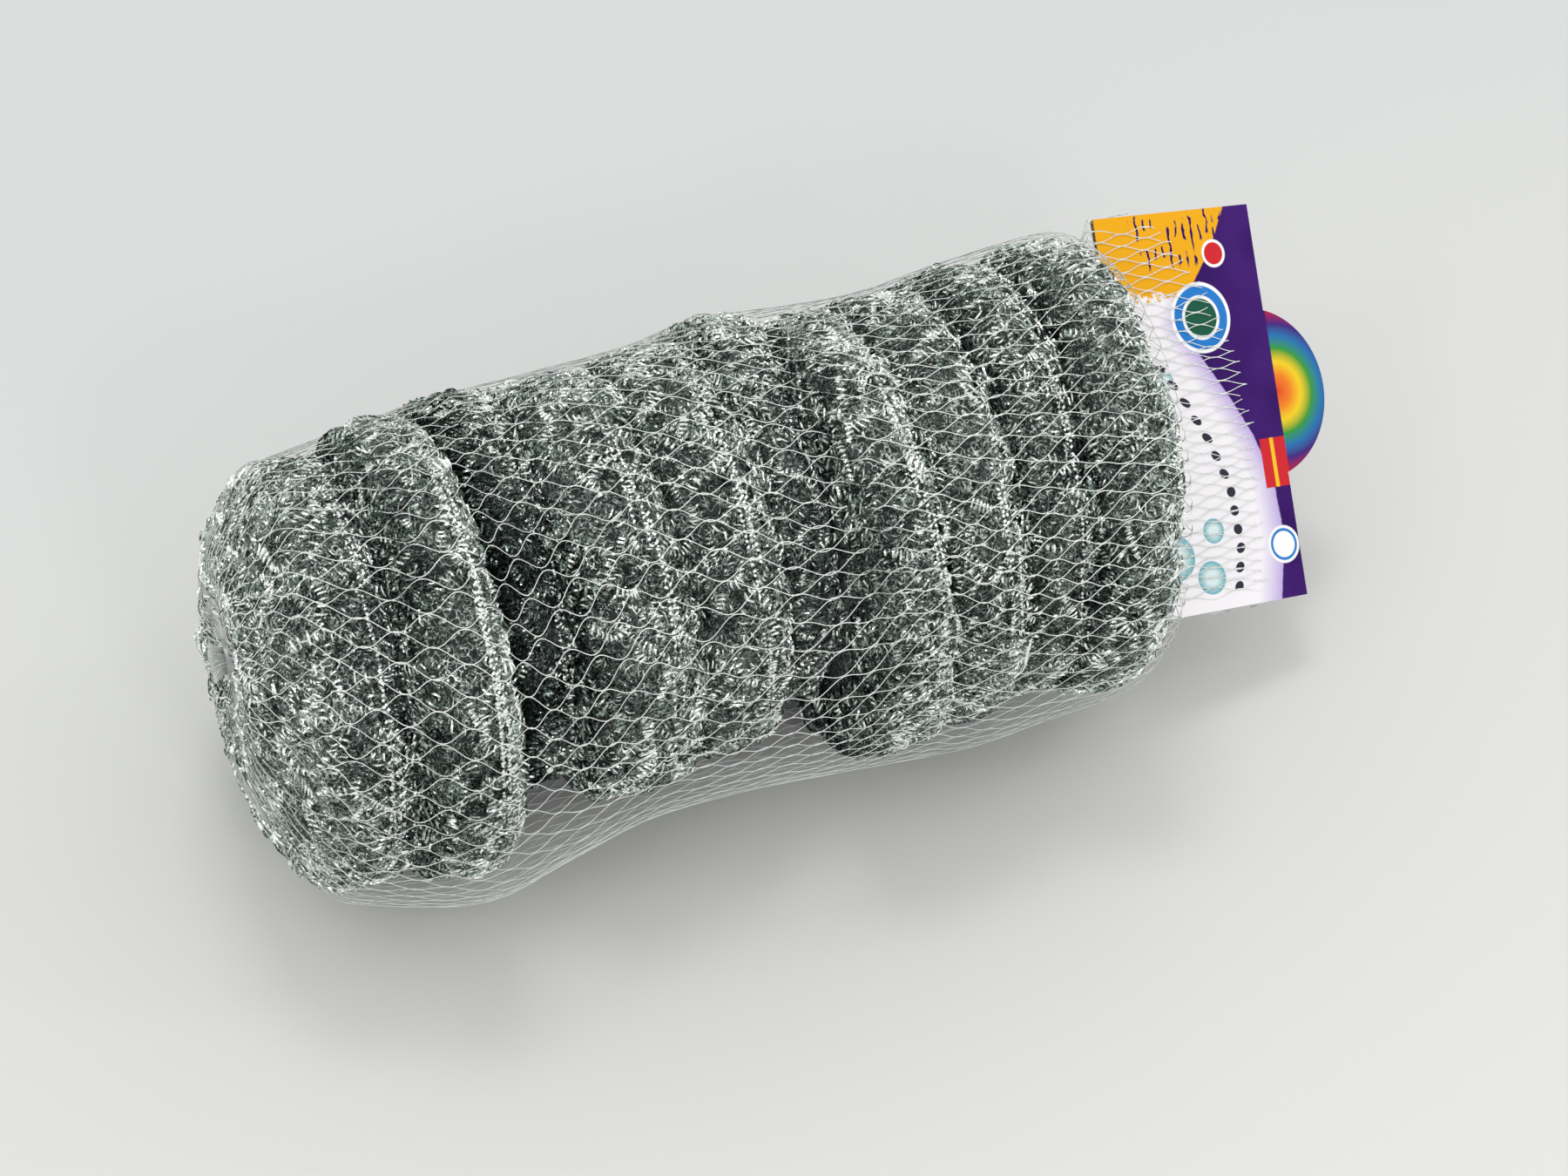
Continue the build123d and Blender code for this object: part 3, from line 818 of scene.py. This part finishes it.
# The printed card: a pale ground with an orange corner, a purple band along the fold and plain generic
# shapes. Places are millimetres across the card from its inner edge, and along it from its middle
cardValues = {
    "pale": (0.89, 0.86, 0.91),
    "orange": (0.84, 0.4, 0.008),
    "purple": (0.03, 0.002, 0.11),
    "lightPurple": (0.05, 0.008, 0.16),
    "lavender": (0.47, 0.35, 0.72),
    "brown": (0.2, 0.13, 0.075),
    "lightBrown": (0.33, 0.24, 0.15),
    "red": (0.62, 0.02, 0.03),
    "yellow": (0.9, 0.55, 0.02),
    "blue": (0.02, 0.2, 0.6),
    "green": (0.01, 0.1, 0.06),
    "white": (0.92, 0.92, 0.94),
    "ink": (0.03, 0.03, 0.05),
    "bubbleMiddle": (0.7, 0.82, 0.84),
    "bubbleRim": (0.12, 0.42, 0.5),
    # The band's edge, as a share of the band's scale, by the place along the card from its bottom
    "bandEdge": [(0.0, 0.76), (0.15, 0.83), (0.3, 0.82), (0.42, 0.74), (0.52, 0.64), (0.62, 0.52),
                 (0.72, 0.42), (0.8, 0.5), (0.9, 0.66), (1.0, 0.77)],
    "bandScale": 50.0,
    "halfLength": 48.0,
    "cornerFrom": 29.5,
    "discs": ((27.0, 22.0, 8.6, "white"), (27.0, 22.0, 7.7, "blue"), (27.0, 22.0, 5.4, "white"),
              (27.0, 22.0, 4.6, "green"), (33.5, 37.0, 3.4, "white"), (33.5, 37.0, 2.7, "red"),
              (41.0, -35.0, 4.6, "white"), (41.0, -35.0, 3.9, "blue"), (41.0, -35.0, 3.2, "white")),
    "bubbles": ((9.0, -34.0, 5.5), (18.5, -40.0, 4.0), (21.0, -29.0, 3.0), (7.0, 14.0, 3.5),
                (14.0, 8.0, 2.2)),
    "dotPitch": 0.22,
    "boxAcross": 38.4,
    "boxAlong": 15.0,
    "boxHalf": 5.9,
    "lineAcross": 42.0,
    "tabFrom": 45.9,
    "tabMiddle": (46.0, 2.0),
    "tabReach": 20.0,
    "tabRings": [(0.0, (0.75, 0.05, 0.02)), (0.2, (0.85, 0.22, 0.02)), (0.36, (0.85, 0.6, 0.02)),
                 (0.52, (0.04, 0.3, 0.04)), (0.68, (0.02, 0.16, 0.42)), (0.82, (0.05, 0.02, 0.2)),
                 (1.0, (0.45, 0.01, 0.03))],
    "roughness": (0.32, 0.85),
    "specular": 0.12,
}


def makeDiscMask():
    labels = ("Across", "Along", "Middle Across", "Middle Along", "Radius")
    group, pattern, given, result = newGroup(
        "discMask", [(label, "NodeSocketFloat") for label in labels],
        [("Mask", "NodeSocketFloat"), ("Distance", "NodeSocketFloat")])
    across = pattern.sum("SUBTRACT", given.outputs["Across"], given.outputs["Middle Across"])
    along = pattern.sum("SUBTRACT", given.outputs["Along"], given.outputs["Middle Along"])
    distance = pattern.sum("SQRT", pattern.sum("ADD", pattern.sum("MULTIPLY", across, across),
                                               pattern.sum("MULTIPLY", along, along)))
    inside = pattern.step(pattern.sum("SUBTRACT", given.outputs["Radius"], distance), -0.1, 0.1)
    pattern.feed(result.inputs["Mask"], inside)
    pattern.feed(result.inputs["Distance"], distance)
    return group


discMask = makeDiscMask()


def cardMaterial(values):
    material, pattern, shader = newMaterial("printedCard")
    place = pattern.objectPlace()
    local = pattern.node("ShaderNodeVectorMath", {"operation": "SUBTRACT"}, i0=place, i1=tuple(edge))
    local = local.outputs[0]
    across = pattern.sum("MULTIPLY", pattern.dot(local, tuple(cardOut)), 1000.0)
    along = pattern.sum("MULTIPLY", pattern.dot(local, tuple(cardUp)), 1000.0)
    through = pattern.sum("MULTIPLY", pattern.dot(local, tuple(cardFront)), 1000.0)
    torn = pattern.noise(place, 520.0, 4.0, 0.7)
    ragged = pattern.sum("MULTIPLY", pattern.sum("SUBTRACT", torn, 0.5), 12.0)

    def disc(x, y, radius):
        made = pattern.node("ShaderNodeGroup", {"node_tree": discMask}, Across=across, Along=along,
                            Middle_Across=x, Middle_Along=y, Radius=radius)
        return made.outputs["Mask"], made.outputs["Distance"]

    # The pale ground turns lavender towards the band
    level = pattern.step(along, -values["halfLength"], values["halfLength"])
    bandEdge = pattern.sum("MULTIPLY", pattern.ramp(level, values["bandEdge"]), values["bandScale"])
    fromBand = pattern.sum("SUBTRACT", across, bandEdge)
    colour = pattern.mix(pattern.step(fromBand, -7.0, -0.4, 0.0, 0.85), values["pale"], values["lavender"])
    slope = pattern.sum("SUBTRACT", along, pattern.sum("MULTIPLY", across, -0.12))
    corner = pattern.sum("ADD", slope, ragged)
    cornerFrom = values["cornerFrom"]
    colour = pattern.mix(pattern.step(corner, cornerFrom, cornerFrom + 0.5), colour, values["orange"])
    # Short purple dashes in the orange corner
    stretched = pattern.node("ShaderNodeCombineXYZ", None, X=pattern.sum("MULTIPLY", across, 0.02),
                             Y=pattern.sum("MULTIPLY", along, 0.01), Z=0.0).outputs[0]
    dashes = pattern.node("ShaderNodeTexWave", {"wave_type": "BANDS", "bands_direction": "X"},
                          Vector=stretched, Scale=7.0, Distortion=3.0, Detail=3.0,
                          Detail_Scale=3.0).outputs["Fac"]
    zone = pattern.sum("MULTIPLY", pattern.step(along, 34.0, 35.5), pattern.step(across, 10.0, 11.0))
    zone = pattern.sum("MULTIPLY", zone, pattern.step(pattern.noise(place, 160.0, 2.0), 0.5, 0.53))
    dashes = pattern.sum("MULTIPLY", pattern.step(dashes, 0.8, 0.84), zone)
    colour = pattern.mix(dashes, colour, values["purple"])
    band = pattern.step(pattern.sum("ADD", fromBand, pattern.sum("MULTIPLY", ragged, 0.05)), -0.3, 0.1)
    mottle = pattern.step(pattern.noise(place, 70.0), 0.35, 0.7)
    colour = pattern.mix(band, colour, pattern.mix(mottle, values["purple"], values["lightPurple"]))
    # A plain ring in blue and white with a dark middle, some bubbles, and a column of dots
    for x, y, radius, name in values["discs"]:
        colour = pattern.mix(disc(x, y, radius)[0], colour, values[name])
    for x, y, radius in values["bubbles"]:
        mask, distance = disc(x, y, radius)
        rim = pattern.step(distance, radius * 0.4, radius)
        colour = pattern.mix(mask, colour, pattern.mix(rim, values["bubbleMiddle"], values["bubbleRim"]))
    pitch = values["dotPitch"]
    rowPlace = pattern.sum("SUBTRACT", pattern.sum("FRACT", pattern.sum("MULTIPLY", along, pitch)), 0.5)
    beforeBand = pattern.sum("SUBTRACT", bandEdge, across)
    dotRow = pattern.sum("SUBTRACT", pattern.sum("MULTIPLY", beforeBand, pitch), 2.9)
    dotSize = pattern.sum("SQRT", pattern.sum("ADD", pattern.sum("MULTIPLY", rowPlace, rowPlace),
                                              pattern.sum("MULTIPLY", dotRow, dotRow)))
    dots = pattern.step(dotSize, 0.26, 0.3, 1.0, 0.0)
    dots = pattern.sum("MULTIPLY", dots, pattern.step(along, 12.0, 11.8))
    dots = pattern.sum("MULTIPLY", dots, pattern.step(along, -44.0, -43.8))
    colour = pattern.mix(dots, colour, values["ink"])
    # A red box at the fold with a yellow line down it
    fromBox = pattern.sum("ABSOLUTE", pattern.sum("ADD", along, values["boxAlong"]))
    box = pattern.sum("MULTIPLY", pattern.step(across, values["boxAcross"], values["boxAcross"] + 0.2),
                      pattern.step(fromBox, values["boxHalf"], values["boxHalf"] + 0.2, 1.0, 0.0))
    colour = pattern.mix(box, colour, values["red"])
    fromLine = pattern.sum("ABSOLUTE", pattern.sum("SUBTRACT", across, values["lineAcross"]))
    line = pattern.step(fromLine, 0.5, 0.6, 1.0, 0.0)
    colour = pattern.mix(pattern.sum("MULTIPLY", box, line), colour, values["yellow"])
    # The tab has bands of colour round the middle of its straight side
    _, fromTab = disc(*values["tabMiddle"], 1.0)
    tabColour = pattern.ramp(pattern.step(fromTab, 0.0, values["tabReach"]), values["tabRings"])
    onTab = pattern.step(across, values["tabFrom"], values["tabFrom"] + 0.2)
    colour = pattern.mix(onTab, colour, tabColour)
    # Bare board on the inner faces and on the cut edges
    inner = pattern.step(pattern.sum("ABSOLUTE", through), 0.58, 0.62, 1.0, 0.0)
    flatPart = pattern.step(across, 45.2, 45.3, 1.0, 0.0)
    behind = pattern.step(through, 0.6, 0.64, 1.0, 0.0)
    tabBack = pattern.sum("MULTIPLY", behind, pattern.step(across, 46.2, 46.3))
    bare = pattern.sum("MAXIMUM", pattern.sum("MULTIPLY", inner, flatPart), tabBack)
    fibre = pattern.mix(pattern.noise(place, 1500.0, 3.0), values["brown"], values["lightBrown"])
    colour = pattern.mix(bare, colour, fibre)
    pattern.feed(shader.inputs["Base Color"], colour)
    pattern.feed(shader.inputs["Roughness"], pattern.step(bare, 0, 1, *values["roughness"]))
    shader.inputs["Specular IOR Level"].default_value = values["specular"]
    creases = pattern.noise(place, 180.0, 3.0, 0.6)
    bump = pattern.node("ShaderNodeBump", None, Height=creases, Strength=0.25, Distance=0.0006)
    pattern.feed(shader.inputs["Normal"], bump.outputs["Normal"])
    return material


def dress(node, material):
    for piece in [o for o in bpy.data.objects if o.type == "MESH" and o.name == node]:
        if not piece.material_slots:
            piece.data.materials.append(material)
        for slot in piece.material_slots:
            slot.material = material


dress("header_card", cardMaterial(cardValues))
dress("gather_clip", clipMetal)
print("card printed")

# Floor, lights and background. A light's entry: its place, what it aims at, its size and its power
stageValues = {
    "floorHalf": 4,
    "floorBack": (0.61, 0.625, 0.635),
    "floorFront": (0.72, 0.716, 0.7),
    "floorBlend": (0.2, -0.28),
    "backTone": (0.74, 0.765, 0.75),
    "skyTone": (0.94, 0.94, 0.91),
}
lightValues = {
    "keyLight": ((0.05, 0.3, 1.1), (0, 0, 0.04), (0.3, 0.22), 2.0),
    "fillLight": ((-0.8, -0.3, 0.9), (0, 0, 0.05), (0.2, 0.14), 0.8),
    "frontLight": ((0.1, -1.1, 0.8), (0, -0.1, 0.0), (0.2, 0.12), 1.7),
    "rightLight": ((0.8, -0.2, 1.0), (0, 0, 0.05), (0.12, 0.12), 0.5),
}


def makeStage(values):
    mesh = bpy.data.meshes.new("floor")
    half = values["floorHalf"]
    corners = [(-half, -half, 0), (half, -half, 0), (half, half, 0), (-half, half, 0)]
    mesh.from_pydata(corners, [], [(0, 1, 2, 3)])
    floor = bpy.data.objects.new("floor", mesh)
    scene.collection.objects.link(floor)
    material, pattern, shader = newMaterial("paleFloor")
    # Painted light: the sweep is painted a little warmer and lighter towards the camera, where more light
    # falls at the front
    depth = pattern.node("ShaderNodeSeparateXYZ", None, Vector=pattern.objectPlace()).outputs["Y"]
    near = pattern.step(depth, *values["floorBlend"])
    pattern.feed(shader.inputs["Base Color"], pattern.mix(near, values["floorBack"], values["floorFront"]))
    pattern.feed(shader.inputs["Roughness"], 0.8)
    shader.inputs["Specular IOR Level"].default_value = 0.1
    mesh.materials.append(material)
    world = bpy.data.worlds.new("studio")
    world.use_nodes = True
    tree = Pattern(world.node_tree)
    background = world.node_tree.nodes["Background"]
    seen = tree.node("ShaderNodeLightPath").outputs["Is Camera Ray"]
    tone = tree.mix(seen, values["skyTone"], values["backTone"])
    tree.feed(background.inputs["Color"], tone)
    scene.world = world


def makeLight(name, place, aim, size, power):
    data = bpy.data.lights.new(name, "AREA")
    data.shape, data.size, data.size_y, data.energy = "RECTANGLE", size[0], size[1], power
    light = bpy.data.objects.new(name, data)
    light.location = place
    light.rotation_euler = (Vector(aim) - Vector(place)).to_track_quat("-Z", "Y").to_euler()
    scene.collection.objects.link(light)


makeStage(stageValues)
for name, light in lightValues.items():
    makeLight(name, *light)
print("stage made")
